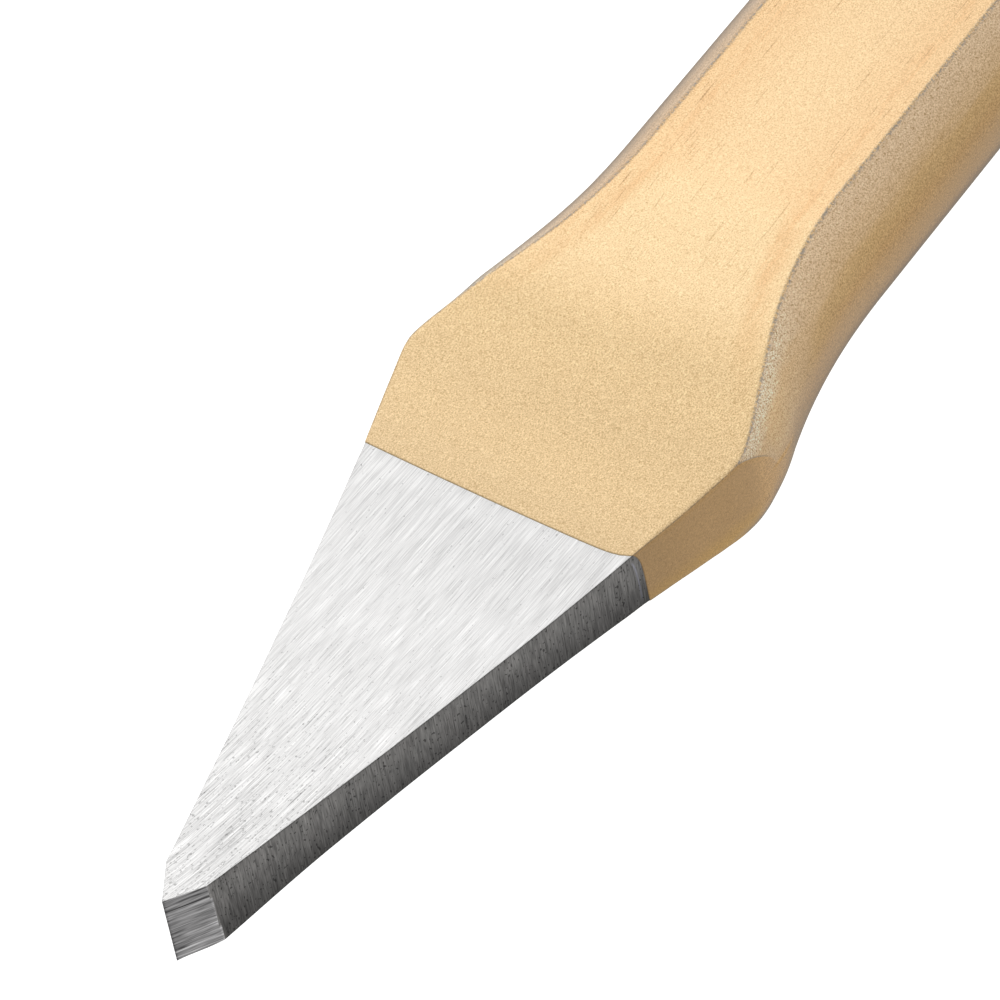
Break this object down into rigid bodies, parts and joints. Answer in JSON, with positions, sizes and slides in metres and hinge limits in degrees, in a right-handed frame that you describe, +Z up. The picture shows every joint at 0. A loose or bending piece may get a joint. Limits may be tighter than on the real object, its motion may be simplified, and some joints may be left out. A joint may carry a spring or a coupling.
{
  "type": "cape chisel",
  "caption": "One-piece forged steel cape chisel: narrow wedge blade with a ground bit and double bevel, flat-oval shank, struck head and a lacquer coat.",
  "frame": {"origin": "centre of the bounding box at its bottom, on the wide face that the chisel lies on", "axes": "+X along the tool from the cutting edge to the striking head, +Y across the wide faces, +Z up through the thickness"},
  "size_m": [0.2, 0.0326, 0.013],
  "materials": {
    "ground_steel": "ground bright on the wide faces of the bit, darker cross-ground narrow sides and bevels",
    "gold_lacquer": "champagne-gold metallic lacquer, satin, fine grain"
  },
  "bodies": {
    "root": {"steel_forging": "ground_steel", "lacquer_coat": "gold_lacquer"}
  },
  "joints": []
}
